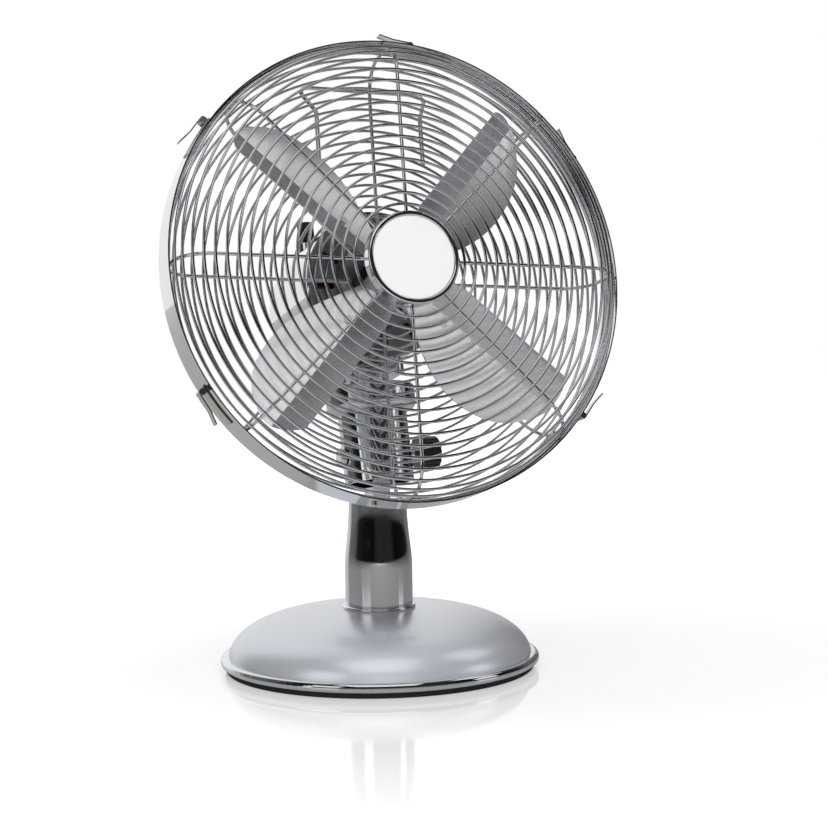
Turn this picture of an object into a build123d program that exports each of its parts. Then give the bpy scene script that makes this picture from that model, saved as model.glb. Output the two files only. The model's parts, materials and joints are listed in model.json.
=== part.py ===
from build123d import *
from math import atan2, cos, degrees, hypot, pi, radians, sin, tan
import os

# Retro desk fan, 30 cm class. Millimetres, +Z up, origin at the centre of the face the foot ring stands on,
# -Y is the blowing side. The head stands at rest as photographed: tilted up and facing straight ahead.

# Fits
running_gap = 0.05
slip_gap = 0.3
seat_gap = 0.1

# Base
foot_height = 4.0
foot_chamfer = 0.8
foot_inner_radius = 109.0
foot_outer_radius = 118.0
rim_radius = 122.0
rim_inner_radius = 108.0
rim_height = 7.4
rim_rounding = 3.4
dome_radius = 116.0
dome_height = 34.6
dome_flat_radius = 28.5
dome_wall = 1.2
dome_crown_share = 0.73
dome_side_share = 0.54
dome_side_lean = 3.0
plate_thickness = 2.0
plate_screw_radius = 3.5
plate_screw_shank = 2.1
plate_screw_circle = 72.8
plate_screw_head = 1.5
plate_screw_count = 3
ballast_radius = 104.0
ballast_thickness = 6.5

# Control panel cut into the back of the dome
panel_distance = 102.0
panel_thickness = 1.6
control_height = 20.5
control_offset = 24.0
switch_width = 20.0
switch_height = 11.0
switch_depth = 16.0
switch_room = 1.0
switch_stem_radius = 3.0
speed_knob_radius = 7.0
speed_knob_length = 12.0
speed_knob_draft = 4.0
speed_knob_bore = 7.2
speed_pointer_length = 11.2
speed_pointer_width = 2.8
speed_pointer_height = 2.1
inlet_radius = 5.5
inlet_bore_radius = 3.2
inlet_flange = 1.8
inlet_rounding = 1.08

# Column
column_radius = 25.8
column_top_radius = 22.2
column_straight = 32.0
column_height = 81.0
column_bore_radius = 20.5
spigot_radius = 19.0
collar_bead_radius = 1.3
collar_bead_stand = 0.78
tie_rod_radius = 4.0
tie_nut_radius = 8.0
tie_nut_height = 3.6
tie_nut_room = 1.0
spigot_wall = 3.0
column_seat = 3.0
waist_start = 14.0
waist_end = 22.0
waist_flare = 0.7

# Tilt joint
tilt = 16.0
tilt_axis_height = 162.5
knuckle_cap = 2.5
knuckle_plug = 12.0
tongue_thickness = 14.0
tongue_depth = 19.0
tongue_eye_radius = 10.5
tilt_bolt_radius = 4.0
tilt_nut_radius = 7.5
tilt_nut_thickness = 4.0
tilt_nut_rounding = 1.6
spacer_radius = 9.0
stub_radius = 5.0
stub_length = 5.5
tilt_knob_radius = 12.8
tilt_knob_length = 17.0
tilt_knob_bore = 10.2
tilt_knob_flute = 0.9
tilt_knob_chamfer = 1.0
tilt_knob_ribs = 18

# Neck
neck_radius = 26.5
neck_wall = 2.2
neck_skirt = 21.0
neck_top = 33.0
neck_roof = 3.0
drum_radius = 34.5
drum_height = 19.0
drum_wall = 2.5
drum_lower_rounding = 6.0
drum_upper_rounding = 2.0

# Oscillation pivot
post_radius = 10.0
post_bore_radius = 5.0
bush_wall = 3.0
bush_length = 12.0
bush_flange_width = 3.0
bush_flange = 1.4
saddle_hub_radius = 15.0
saddle_hub_height = 7.0
saddle_width = 48.0
saddle_length = 46.0
saddle_rounding = 8.0
saddle_wrap = 0.9

# Motor, on the axis that carries the blades
reach = 81.7
rise = 122.8
motor_radius = 57.0
motor_wall = 1.6
motor_front = 36.0
motor_length = 86.0
shield_thickness = 3.0
shield_boss_radius = 30.0
shield_vents = 12
vent_width = 5.0
vent_inner_radius = 35.0
vent_outer_radius = 50.0
cap_straight = 6.0
cap_depth = 30.0
cap_side_share = 0.6
cap_crown_share = 0.8
cap_end_radius = 24.0
cap_vents = 9
cap_vent_inner_radius = 8.0
cap_vent_outer_radius = 19.0
cap_vent_width = 3.2
shaft_radius = 4.0
shaft_bush_wall = 3.0
shaft_bush_length = 7.5
bearing_wall = 3.5
rotor_radius = 24.0
air_gap = 0.6
stack_front = 55.0
stack_length = 40.0
winding_inner_radius = 30.0
winding_outer_radius = 48.0
winding_length = 11.0
guard_nut_radius = 18.0
guard_nut_thread_radius = 10.0
guard_nut_thickness = 5.5

# Oscillation drive at the back of the motor
clutch_offset = 20.0
clutch_behind_neck = 48.0
worm_radius = 4.7
worm_length = 14.0
shaft_tail = 2.0
wheel_thickness = 8.0
crank_shaft_radius = 4.0
crank_shaft_top = 14.0
crank_radius = 18.0
crank_disc_radius = 22.0
crank_disc_thickness = 4.0
crank_below_motor = 1.2
crank_pin_radius = 3.0
link_arm = 26.0
link_thickness = 2.5
link_eye_radius = 7.5
link_width = 8.0
link_play = 2.0
drive_boss_radius = 7.5
drive_boss_height = 5.0
drive_boss_root = 6.0
crank_boss_height = 2.0
pull_rod_radius = 3.0
pull_knob_radius = 6.5
pull_knob_height = 15.0
pull_knob_rest = 2.0
pull_knob_flute = 0.65
pull_rod_space = 1.0
pull_knob_ribs = 12

# Wire guard
guard_radius = 171.8
guard_depth = 32.5
guard_shoulder = 26.0
ring_wire_radius = 1.1
spoke_wire_radius = 1.4
rim_wire_radius = 1.8
weld_depth = 0.3
face_ring_pitch = 8.6
face_rings = 13
shoulder_rings = 4
spokes = 8
guard_clock = -3.3
spoke_root_radius = 24.0
mount_plate_radius = 33.0
mount_plate_thickness = 1.5
band_width = 27.0
band_thickness = 1.0
band_screw_angle = 258.0
band_screw_radius = 2.6
band_screw_head = 1.6

# Badge in the middle of the front guard
badge_radius = 31.0
badge_front = 40.7
bezel_width = 4.0
bezel_lip = 0.8
bezel_rounding = 1.5

# Carry handle on the back of the guard
handle_wire_radius = 1.7
handle_leg_spacing = 84.0
handle_bar_length = 106.0
handle_leg_start = 95.0
handle_leg_end = 134.0
handle_bar_height = 158.0
handle_set_back = 14.0
handle_bend_radius = 7.0

# Toggle latches on the band, by the angle of each latch's middle
latch_angles = (33.2, 83.8, 143.8, 212.7, 324.0)
latch_span = 11.0
latch_plate = 1.0
latch_width = 9.6
latch_ear = 1.0
latch_pin_radius = 1.2
latch_pin_height = 3.6
latch_barrel_wall = 1.2
latch_lever_thickness = 1.0
latch_lever_length = 25.0
latch_lift = 9.0
latch_bend = 13.75
latch_bend_radius = 7.5

# Blades
blade_count = 4
blade_clock = 46.0
blade_tip_radius = 155.0
blade_root_radius = 23.0
blade_root_half_width = 13.0
blade_belly = 39.0
blade_belly_radius = 97.0
belly_run_in = 30.0
belly_run_out = 26.0
root_run_out = 22.0
root_flare = 10.0
tip_run_in = 6.0
tip_flare = 11.0
sheet_margin = 4.0
strip_width = 18.0
blade_thickness = 1.2
blade_pitch = 26.0
strip_pitch = 46.0
crease_radius = 4.0
tip_corner_radius = 9.0
hub_radius = 16.0
hub_back = 12.0
hub_front = 12.0
hub_nut_radius = 9.0
hub_nut_thickness = 6.0
arm_length = 62.0
arm_width = 20.0
arm_thickness = 2.0
rivet_radius = 3.0
rivet_head = 1.2
rivet_shank = 1.5
rivet_distance = 53.0
rivet_offset = 5.0

os.makedirs("parts", exist_ok=True)

# Working planes


def turned(plane, about_z=0, about_x=0):
    """The plane turned in its own frame."""
    return Plane(plane.location * Rotation(about_x, 0, about_z))


rim_top = foot_height + rim_height
dome_top = rim_top + dome_height
column_top = dome_top + column_height
neck_up = (0, sin(radians(tilt)), cos(radians(tilt)))
neck_plane = Plane((0, 0, tilt_axis_height), x_dir=(1, 0, 0), z_dir=neck_up)
neck_axis = Axis(neck_plane.origin, neck_plane.z_dir)
neck_section = Plane(neck_plane.origin, x_dir=neck_plane.x_dir, z_dir=-neck_plane.y_dir)
face_origin = neck_plane.from_local_coords((0, -reach, rise))
face_plane = Plane(face_origin, x_dir=neck_plane.x_dir, z_dir=-neck_plane.y_dir)
face_axis = Axis(face_plane.origin, face_plane.z_dir)
face_section = Plane(face_origin, x_dir=face_plane.x_dir, z_dir=-face_plane.y_dir)
guard_plane = turned(face_plane, guard_clock)
guard_section = Plane(face_origin, x_dir=guard_plane.x_dir, z_dir=-guard_plane.y_dir)
panel_plane = Plane((0, panel_distance, 0), x_dir=(-1, 0, 0), z_dir=(0, 1, 0))
tilt_side = Plane((0, 0, tilt_axis_height), x_dir=(0, 1, 0), z_dir=(1, 0, 0))

# Base

with BuildPart() as base_rim:
    with BuildSketch(Plane.XZ) as rim_profile:
        with Locations(((rim_inner_radius + rim_radius) / 2, foot_height + rim_height / 2)):
            Rectangle(rim_radius - rim_inner_radius, rim_height)
        fillet(rim_profile.vertices().group_by(Axis.X)[-1], rim_rounding)
    revolve(axis=Axis.Z)
base_rim.part.label = "base_rim"
export_step(base_rim.part, "parts/base_rim.step")


def dome_curve(inset):
    """Generating line of the dome, from the flat at the column out to its edge on the rim."""
    edge = dome_radius - inset
    top = dome_top - inset
    crown = (edge * dome_crown_share, top)
    side = (edge - dome_side_lean, rim_top + dome_height * dome_side_share)
    return Bezier((dome_flat_radius, top), crown, side, (edge, rim_top))


with BuildPart() as base_shell:
    with BuildSketch(Plane.XZ):
        with BuildLine():
            outer = dome_curve(0)
            inner = dome_curve(dome_wall)
            Line(outer @ 1, inner @ 1)
            neck_hole = spigot_radius + seat_gap
            Polyline(inner @ 0, (neck_hole, dome_top - dome_wall), (neck_hole, dome_top), outer @ 0)
        make_face()
    revolve(axis=Axis.Z)
    split(bisect_by=panel_plane, keep=Keep.BOTTOM)
base_shell.part.label = "base_shell"
export_step(base_shell.part, "parts/base_shell.step")

with BuildPart() as control_plate:
    with BuildSketch(Plane.XZ):
        with BuildLine():
            inner = dome_curve(dome_wall)
            Polyline(inner @ 0, (0, dome_top - dome_wall), (0, rim_top), inner @ 1)
        make_face()
    revolve(axis=Axis.Z)
    split(bisect_by=panel_plane, keep=Keep.BOTTOM)
    split(bisect_by=panel_plane.offset(-panel_thickness), keep=Keep.TOP)
    with BuildSketch(panel_plane):
        with Locations((-control_offset, control_height)):
            Circle(switch_stem_radius + slip_gap)
        with Locations((control_offset, control_height)):
            Circle(inlet_radius)
    extrude(amount=-panel_thickness, mode=Mode.SUBTRACT)
control_plate.part.label = "control_plate"
export_step(control_plate.part, "parts/control_plate.step")

with BuildPart() as speed_switch:
    with BuildSketch(panel_plane.offset(-panel_thickness)):
        with Locations((-control_offset, control_height)):
            Rectangle(switch_width, switch_height)
    extrude(amount=-switch_depth)
    with BuildSketch(panel_plane.offset(-panel_thickness)):
        with Locations((-control_offset, control_height)):
            Circle(switch_stem_radius)
    extrude(amount=panel_thickness + speed_knob_bore)
speed_switch.part.label = "speed_switch"
export_step(speed_switch.part, "parts/speed_switch.step")

with BuildPart() as speed_knob:
    with BuildSketch(panel_plane.offset(slip_gap)):
        with Locations((-control_offset, control_height)):
            Circle(speed_knob_radius)
    extrude(amount=speed_knob_length, taper=speed_knob_draft)
    with BuildSketch(panel_plane.offset(slip_gap + speed_knob_length)):
        with Locations((-control_offset, control_height)):
            SlotOverall(speed_pointer_length, speed_pointer_width, rotation=90)
    extrude(amount=speed_pointer_height)
    with BuildSketch(panel_plane.offset(slip_gap)):
        with Locations((-control_offset, control_height)):
            Circle(switch_stem_radius + running_gap)
    extrude(amount=speed_knob_bore + slip_gap, mode=Mode.SUBTRACT)
speed_knob.part.label = "speed_knob"
export_step(speed_knob.part, "parts/speed_knob.step")

with BuildPart() as cord_inlet:
    with BuildSketch(panel_plane):
        with Locations((control_offset, control_height)):
            Circle(inlet_radius + inlet_flange)
    extrude(amount=inlet_flange)
    fillet(cord_inlet.edges().group_by(Axis.Y)[-1], inlet_rounding)
    with BuildSketch(panel_plane):
        with Locations((control_offset, control_height)):
            Circle(inlet_radius)
    extrude(amount=-(panel_thickness + inlet_flange))
    with BuildSketch(panel_plane.offset(inlet_flange)):
        with Locations((control_offset, control_height)):
            Circle(inlet_bore_radius)
    extrude(amount=-(panel_thickness + 2 * inlet_flange), mode=Mode.SUBTRACT)
cord_inlet.part.label = "cord_inlet"
export_step(cord_inlet.part, "parts/cord_inlet.step")

with BuildPart() as foot_ring:
    with BuildSketch():
        Circle(foot_outer_radius)
        Circle(foot_inner_radius, mode=Mode.SUBTRACT)
    extrude(amount=foot_height)
    chamfer(foot_ring.edges().group_by(Axis.Z)[0], foot_chamfer)
foot_ring.part.label = "foot_ring"
export_step(foot_ring.part, "parts/foot_ring.step")

with BuildPart() as bottom_plate:
    with BuildSketch(Plane.XY.offset(foot_height)):
        Circle(rim_inner_radius - seat_gap)
        with PolarLocations(plate_screw_circle, plate_screw_count):
            Circle(plate_screw_shank, mode=Mode.SUBTRACT)
    extrude(amount=plate_thickness)
bottom_plate.part.label = "bottom_plate"
export_step(bottom_plate.part, "parts/bottom_plate.step")

with BuildPart() as plate_screws:
    with BuildSketch(Plane.XY.offset(foot_height)):
        with PolarLocations(plate_screw_circle, plate_screw_count):
            Circle(plate_screw_radius)
    extrude(amount=-plate_screw_head)
    with BuildSketch(Plane.XY.offset(foot_height)):
        with PolarLocations(plate_screw_circle, plate_screw_count):
            Circle(plate_screw_shank)
    extrude(amount=plate_thickness)
plate_screws.part.label = "plate_screws"
export_step(plate_screws.part, "parts/plate_screws.step")

ballast_bottom = foot_height + plate_thickness
ballast_top = ballast_bottom + ballast_thickness
with BuildPart() as ballast:
    with BuildSketch(Plane.XY.offset(ballast_bottom)):
        Circle(ballast_radius)
        Circle(tie_rod_radius + seat_gap, mode=Mode.SUBTRACT)
    extrude(amount=ballast_thickness)
    with BuildSketch(Plane.XY.offset(ballast_bottom)):
        Circle(tie_nut_radius + tie_nut_room)
    extrude(amount=tie_nut_height, mode=Mode.SUBTRACT)
    split(bisect_by=panel_plane.offset(-panel_thickness - switch_depth - switch_room), keep=Keep.BOTTOM)
ballast.part.label = "ballast"
export_step(ballast.part, "parts/ballast.step")

with BuildPart() as tie_rod:
    with BuildSketch(Plane.XY.offset(ballast_bottom)):
        RegularPolygon(tie_nut_radius, 6)
    extrude(amount=tie_nut_height)
    with BuildSketch(Plane.XY.offset(ballast_bottom)):
        Circle(tie_rod_radius)
    extrude(amount=column_top - ballast_bottom)
tie_rod.part.label = "tie_rod"
export_step(tie_rod.part, "parts/tie_rod.step")

# Column and tilt joint

with BuildPart() as column:
    with BuildSketch(Plane.XZ):
        with BuildLine():
            taper_start = dome_top + column_straight
            Line((column_radius, dome_top), (column_radius, taper_start))
            Bezier(
                (column_radius, taper_start),
                (column_radius, taper_start + waist_start),
                (column_top_radius + waist_flare, taper_start + waist_end),
                (column_top_radius, column_top),
            )
            Polyline(
                (column_top_radius, column_top),
                (column_bore_radius, column_top),
                (column_bore_radius, dome_top + column_seat),
                (spigot_radius - spigot_wall, dome_top + column_seat),
                (spigot_radius - spigot_wall, ballast_top),
                (spigot_radius, ballast_top),
                (spigot_radius, dome_top),
                (column_radius, dome_top),
            )
        make_face()
    revolve(axis=Axis.Z)
column.part.label = "column"
export_step(column.part, "parts/column.step")

with BuildPart() as column_collar:
    with BuildSketch(Plane.XZ):
        with Locations((column_radius + collar_bead_stand, dome_top + collar_bead_radius)):
            Circle(collar_bead_radius)
        with Locations((column_radius / 2, dome_top + collar_bead_radius)):
            Rectangle(column_radius, collar_bead_radius * 3, mode=Mode.SUBTRACT)
    revolve(axis=Axis.Z)
column_collar.part.label = "column_collar"
export_step(column_collar.part, "parts/column_collar.step")

with BuildPart() as column_knuckle:
    with BuildSketch(Plane.XY.offset(column_top)):
        Circle(column_top_radius)
    extrude(amount=knuckle_cap)
    with BuildSketch(Plane.XY.offset(column_top)):
        Circle(column_bore_radius)
    extrude(amount=-knuckle_plug)
    with BuildSketch(tilt_side):
        Circle(tongue_eye_radius)
        tongue_foot = tilt_axis_height - column_top
        with Locations((0, -tongue_foot / 2)):
            Rectangle(tongue_depth, tongue_foot)
    extrude(amount=tongue_thickness / 2, both=True)
    with BuildSketch(tilt_side):
        Circle(tilt_bolt_radius + running_gap)
    extrude(amount=tongue_thickness, both=True, mode=Mode.SUBTRACT)
    with BuildSketch(Plane.XY.offset(column_top)):
        Circle(tie_rod_radius)
    extrude(amount=-knuckle_plug, mode=Mode.SUBTRACT)
column_knuckle.part.label = "column_knuckle"
export_step(column_knuckle.part, "parts/column_knuckle.step")

knob_start = neck_radius + slip_gap + stub_length
with BuildPart() as tilt_bolt:
    with BuildSketch(tilt_side):
        Circle(tilt_bolt_radius)
    extrude(amount=knob_start + tilt_knob_bore)
    with BuildSketch(tilt_side):
        Circle(tilt_bolt_radius)
    extrude(amount=-(neck_radius + slip_gap))
    with BuildSketch(tilt_side.offset(-(neck_radius + slip_gap))):
        Circle(tilt_nut_radius)
    extrude(amount=-tilt_nut_thickness)
    fillet(tilt_bolt.edges().group_by(Axis.X)[0], tilt_nut_rounding)
    with BuildSketch(tilt_side.offset(neck_radius + slip_gap)):
        Circle(stub_radius)
    extrude(amount=stub_length - slip_gap)
tilt_bolt.part.label = "tilt_bolt"
export_step(tilt_bolt.part, "parts/tilt_bolt.step")

with BuildPart() as tilt_knob:
    with BuildSketch(tilt_side.offset(knob_start)):
        Circle(tilt_knob_radius)
        with PolarLocations(tilt_knob_radius, tilt_knob_ribs):
            Circle(tilt_knob_flute, mode=Mode.SUBTRACT)
    extrude(amount=tilt_knob_length)
    with BuildSketch(tilt_side.offset(knob_start)):
        Circle(tilt_bolt_radius + running_gap)
    extrude(amount=tilt_knob_bore + slip_gap, mode=Mode.SUBTRACT)
    chamfer(tilt_knob.faces().sort_by(Axis.X)[-1].edges(), tilt_knob_chamfer)
tilt_knob.part.label = "tilt_knob"
export_step(tilt_knob.part, "parts/tilt_knob.step")

# Neck, tilting on the bolt

with BuildPart() as neck_shell:
    with BuildSketch(neck_plane.offset(-neck_skirt)):
        Circle(neck_radius)
    extrude(amount=neck_skirt + neck_top)
    with BuildSketch(neck_plane.offset(-neck_skirt)):
        Circle(neck_radius - neck_wall)
    extrude(amount=neck_skirt + neck_top - neck_roof, mode=Mode.SUBTRACT)
    with BuildSketch(neck_plane):
        Circle(post_bore_radius)
    extrude(amount=neck_top + 1, mode=Mode.SUBTRACT)
    with BuildSketch(tilt_side):
        Circle(tilt_bolt_radius + running_gap)
    extrude(amount=neck_radius + 1, both=True, mode=Mode.SUBTRACT)
neck_shell.part.label = "neck_shell"
export_step(neck_shell.part, "parts/neck_shell.step")

neck_inner_radius = neck_radius - neck_wall
spacer_end = (neck_inner_radius**2 - spacer_radius**2) ** 0.5 - seat_gap
spacer_start = tongue_thickness / 2 + slip_gap
with BuildPart() as tilt_spacers:
    for outward in (1, -1):
        with BuildSketch(tilt_side.offset(outward * spacer_start)):
            Circle(spacer_radius)
            Circle(tilt_bolt_radius + running_gap, mode=Mode.SUBTRACT)
        extrude(amount=outward * (spacer_end - spacer_start))
tilt_spacers.part.label = "tilt_spacers"
export_step(tilt_spacers.part, "parts/tilt_spacers.step")

drum_top = neck_top + drum_height
bush_radius = post_radius + running_gap + bush_wall
with BuildPart() as neck_drum:
    with BuildSketch(neck_section):
        with BuildLine():
            lower = drum_lower_rounding
            upper = drum_upper_rounding
            inside = drum_radius - drum_wall
            Polyline((neck_inner_radius, neck_top), (drum_radius - lower, neck_top))
            RadiusArc((drum_radius - lower, neck_top), (drum_radius, neck_top + lower), -lower)
            Line((drum_radius, neck_top + lower), (drum_radius, drum_top - upper))
            RadiusArc((drum_radius, drum_top - upper), (drum_radius - upper, drum_top), -upper)
            Polyline(
                (drum_radius - upper, drum_top),
                (bush_radius, drum_top),
                (bush_radius, drum_top - drum_wall),
                (inside, drum_top - drum_wall),
                (inside, neck_top + lower),
                (drum_radius - lower, neck_top + drum_wall),
                (neck_inner_radius, neck_top + drum_wall),
                (neck_inner_radius, neck_top),
            )
        make_face()
    revolve(axis=neck_axis)
neck_drum.part.label = "neck_drum"
export_step(neck_drum.part, "parts/neck_drum.step")

with BuildPart() as pivot_bush:
    with BuildSketch(neck_plane.offset(drum_top - bush_length)):
        Circle(bush_radius)
    extrude(amount=bush_length)
    with BuildSketch(neck_plane.offset(drum_top)):
        Circle(bush_radius + bush_flange_width)
    extrude(amount=bush_flange)
    with BuildSketch(neck_plane.offset(drum_top - bush_length)):
        Circle(post_radius + running_gap)
    extrude(amount=bush_length + bush_flange, mode=Mode.SUBTRACT)
pivot_bush.part.label = "pivot_bush"
export_step(pivot_bush.part, "parts/pivot_bush.step")

# Pivot and saddle under the motor, swinging on the bush

saddle_bottom = drum_top + bush_flange + slip_gap
cradle_bottom = saddle_bottom + saddle_hub_height
with BuildPart() as saddle:
    with BuildSketch(neck_plane.offset(cradle_bottom)):
        RectangleRounded(saddle_width, saddle_length, saddle_rounding)
    extrude(amount=rise - cradle_bottom)
    with BuildSketch(face_plane.offset(-reach - saddle_length)):
        Circle(motor_radius)
    extrude(amount=saddle_length * 2, mode=Mode.SUBTRACT)
    split(bisect_by=neck_plane.offset(rise - motor_radius * saddle_wrap), keep=Keep.BOTTOM)
    with BuildSketch(neck_plane.offset(saddle_bottom)):
        Circle(saddle_hub_radius)
    extrude(amount=saddle_hub_height)
    with BuildSketch(neck_plane.offset(saddle_bottom)):
        Circle(post_radius)
    extrude(amount=saddle_hub_height, mode=Mode.SUBTRACT)
saddle.part.label = "saddle"
export_step(saddle.part, "parts/saddle.step")

with BuildPart() as pivot_post:
    with BuildSketch(neck_plane.offset(drum_top - bush_length)):
        Circle(post_radius)
        Circle(post_bore_radius, mode=Mode.SUBTRACT)
    extrude(amount=cradle_bottom - drum_top + bush_length)
pivot_post.part.label = "pivot_post"
export_step(pivot_post.part, "parts/pivot_post.step")

# Motor

motor_back = motor_front + motor_length
motor_inner_radius = motor_radius - motor_wall
with BuildPart() as motor_shell:
    with BuildSketch(face_plane.offset(-motor_front)):
        Circle(motor_radius)
        Circle(motor_inner_radius, mode=Mode.SUBTRACT)
    extrude(amount=-motor_length)
motor_shell.part.label = "motor_shell"
export_step(motor_shell.part, "parts/motor_shell.step")

# The guard wires are squared to the area of the round wire they stand for
wire_half = pi**0.5 / 2
ring_half = ring_wire_radius * wire_half
spoke_half = spoke_wire_radius * wire_half
rim_half = rim_wire_radius * wire_half
mount_plane_depth = guard_depth + ring_half
shaft_bush_radius = shaft_radius + running_gap + shaft_bush_wall
with BuildPart() as front_shield:
    with BuildSketch(face_plane.offset(-motor_front)):
        Circle(motor_inner_radius)
        with PolarLocations((vent_inner_radius + vent_outer_radius) / 2, shield_vents):
            SlotOverall(vent_outer_radius - vent_inner_radius, vent_width, mode=Mode.SUBTRACT)
    extrude(amount=-shield_thickness)
    with BuildSketch(face_plane.offset(-motor_front)):
        Circle(shield_boss_radius)
    extrude(amount=motor_front - mount_plane_depth)
    with BuildSketch(face_plane.offset(-motor_front)):
        Circle(guard_nut_thread_radius)
    extrude(amount=motor_front - mount_plane_depth + mount_plate_thickness + guard_nut_thickness)
    with BuildSketch(face_plane.offset(-motor_front - shield_thickness)):
        Circle(shaft_bush_radius)
    extrude(amount=motor_front, mode=Mode.SUBTRACT)
front_shield.part.label = "front_shield"
export_step(front_shield.part, "parts/front_shield.step")

rear_shield_front = stack_front + stack_length + winding_length + slip_gap
with BuildPart() as rear_shield:
    with BuildSketch(face_plane.offset(-rear_shield_front)):
        Circle(motor_inner_radius)
        Circle(shaft_bush_radius, mode=Mode.SUBTRACT)
    extrude(amount=-shield_thickness)
    with BuildSketch(face_plane.offset(-rear_shield_front)):
        Circle(shaft_bush_radius + bearing_wall)
        Circle(shaft_bush_radius, mode=Mode.SUBTRACT)
    extrude(amount=-shaft_bush_length)
rear_shield.part.label = "rear_shield"
export_step(rear_shield.part, "parts/rear_shield.step")

with BuildPart() as shaft_bushes:
    for bush_front in (motor_front + shield_thickness - shaft_bush_length, rear_shield_front):
        with BuildSketch(face_plane.offset(-bush_front)):
            Circle(shaft_bush_radius)
            Circle(shaft_radius + running_gap, mode=Mode.SUBTRACT)
        extrude(amount=-shaft_bush_length)
shaft_bushes.part.label = "shaft_bushes"
export_step(shaft_bushes.part, "parts/shaft_bushes.step")

with BuildPart() as stator_core:
    with BuildSketch(face_plane.offset(-stack_front)):
        Circle(motor_inner_radius)
        Circle(rotor_radius + air_gap, mode=Mode.SUBTRACT)
    extrude(amount=-stack_length)
stator_core.part.label = "stator_core"
export_step(stator_core.part, "parts/stator_core.step")

with BuildPart() as stator_windings:
    for coil_front in (stack_front - winding_length, stack_front + stack_length):
        with BuildSketch(face_plane.offset(-coil_front)):
            Circle(winding_outer_radius)
            Circle(winding_inner_radius, mode=Mode.SUBTRACT)
        extrude(amount=-winding_length)
stator_windings.part.label = "stator_windings"
export_step(stator_windings.part, "parts/stator_windings.step")

# Oscillation drive: worm on the motor shaft, wheel and crank on an upright shaft, link to the neck

clutch_depth = reach + clutch_behind_neck
clutch_plane = Plane(
    face_plane.from_local_coords((-clutch_offset, 0, -clutch_depth)),
    x_dir=face_plane.x_dir,
    z_dir=face_plane.y_dir,
)
cap_reach = (motor_radius**2 - clutch_offset**2) ** 0.5
boss_top = cap_reach + drive_boss_height
crank_top = motor_radius + crank_below_motor
crank_bottom = crank_top + crank_disc_thickness
link_top = crank_bottom + slip_gap
link_bottom = link_top + link_thickness
crank_pin_end = link_bottom + slip_gap
wheel_radius = clutch_offset - worm_radius - slip_gap

with BuildPart() as rear_cap:
    with BuildSketch(face_section):
        with BuildLine():
            straight_end = -motor_back - cap_straight
            cap_end = -motor_back - cap_depth
            Line((motor_radius, -motor_back), (motor_radius, straight_end))
            Bezier(
                (motor_radius, straight_end),
                (motor_radius, straight_end - (cap_depth - cap_straight) * cap_side_share),
                (motor_radius * cap_crown_share, cap_end),
                (cap_end_radius, cap_end),
            )
            Polyline(
                (cap_end_radius, cap_end),
                (0, cap_end),
                (0, cap_end + motor_wall),
                (cap_end_radius, cap_end + motor_wall),
            )
            Bezier(
                (cap_end_radius, cap_end + motor_wall),
                (motor_inner_radius * cap_crown_share, cap_end + motor_wall),
                (motor_inner_radius, straight_end - (cap_depth - cap_straight) * cap_side_share + motor_wall),
                (motor_inner_radius, straight_end),
            )
            Polyline(
                (motor_inner_radius, straight_end),
                (motor_inner_radius, -motor_back),
                (motor_radius, -motor_back),
            )
        make_face()
    revolve(axis=face_axis)
    for start, finish in (
        (cap_reach - drive_boss_root, boss_top),
        (drive_boss_root - cap_reach, -cap_reach - crank_boss_height),
    ):
        with BuildSketch(clutch_plane.offset(start)):
            Circle(drive_boss_radius)
        extrude(amount=finish - start)
    with BuildSketch(clutch_plane):
        Circle(pull_rod_radius + running_gap)
    extrude(amount=2 * boss_top, mode=Mode.SUBTRACT)
    with BuildSketch(clutch_plane):
        Circle(crank_shaft_radius + running_gap)
    extrude(amount=-(cap_reach + 2 * crank_boss_height), mode=Mode.SUBTRACT)
    with BuildSketch(face_plane.offset(cap_end - 1)):
        with PolarLocations((cap_vent_inner_radius + cap_vent_outer_radius) / 2, cap_vents):
            SlotOverall(cap_vent_outer_radius - cap_vent_inner_radius, cap_vent_width)
    extrude(amount=motor_wall + 2, mode=Mode.SUBTRACT)
rear_cap.part.label = "rear_cap"
export_step(rear_cap.part, "parts/rear_cap.step")

with BuildPart() as worm:
    with BuildSketch(face_plane.offset(-clutch_depth + worm_length / 2)):
        Circle(worm_radius)
        Circle(shaft_radius, mode=Mode.SUBTRACT)
    extrude(amount=-worm_length)
worm.part.label = "worm"
export_step(worm.part, "parts/worm.step")

with BuildPart() as worm_wheel:
    with BuildSketch(clutch_plane.offset(-wheel_thickness / 2)):
        Circle(wheel_radius)
        Circle(crank_shaft_radius + running_gap, mode=Mode.SUBTRACT)
    extrude(amount=wheel_thickness)
worm_wheel.part.label = "worm_wheel"
export_step(worm_wheel.part, "parts/worm_wheel.step")

with BuildPart() as crank:
    with BuildSketch(clutch_plane.offset(-crank_bottom)):
        Circle(crank_disc_radius)
    extrude(amount=crank_disc_thickness)
    with BuildSketch(clutch_plane.offset(-crank_top)):
        Circle(crank_shaft_radius)
    extrude(amount=crank_top + crank_shaft_top)
    with BuildSketch(clutch_plane.offset(-crank_bottom)):
        with Locations((-crank_radius, 0)):
            Circle(crank_pin_radius)
    extrude(amount=crank_bottom - crank_pin_end)
crank.part.label = "crank"
export_step(crank.part, "parts/crank.step")

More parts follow.
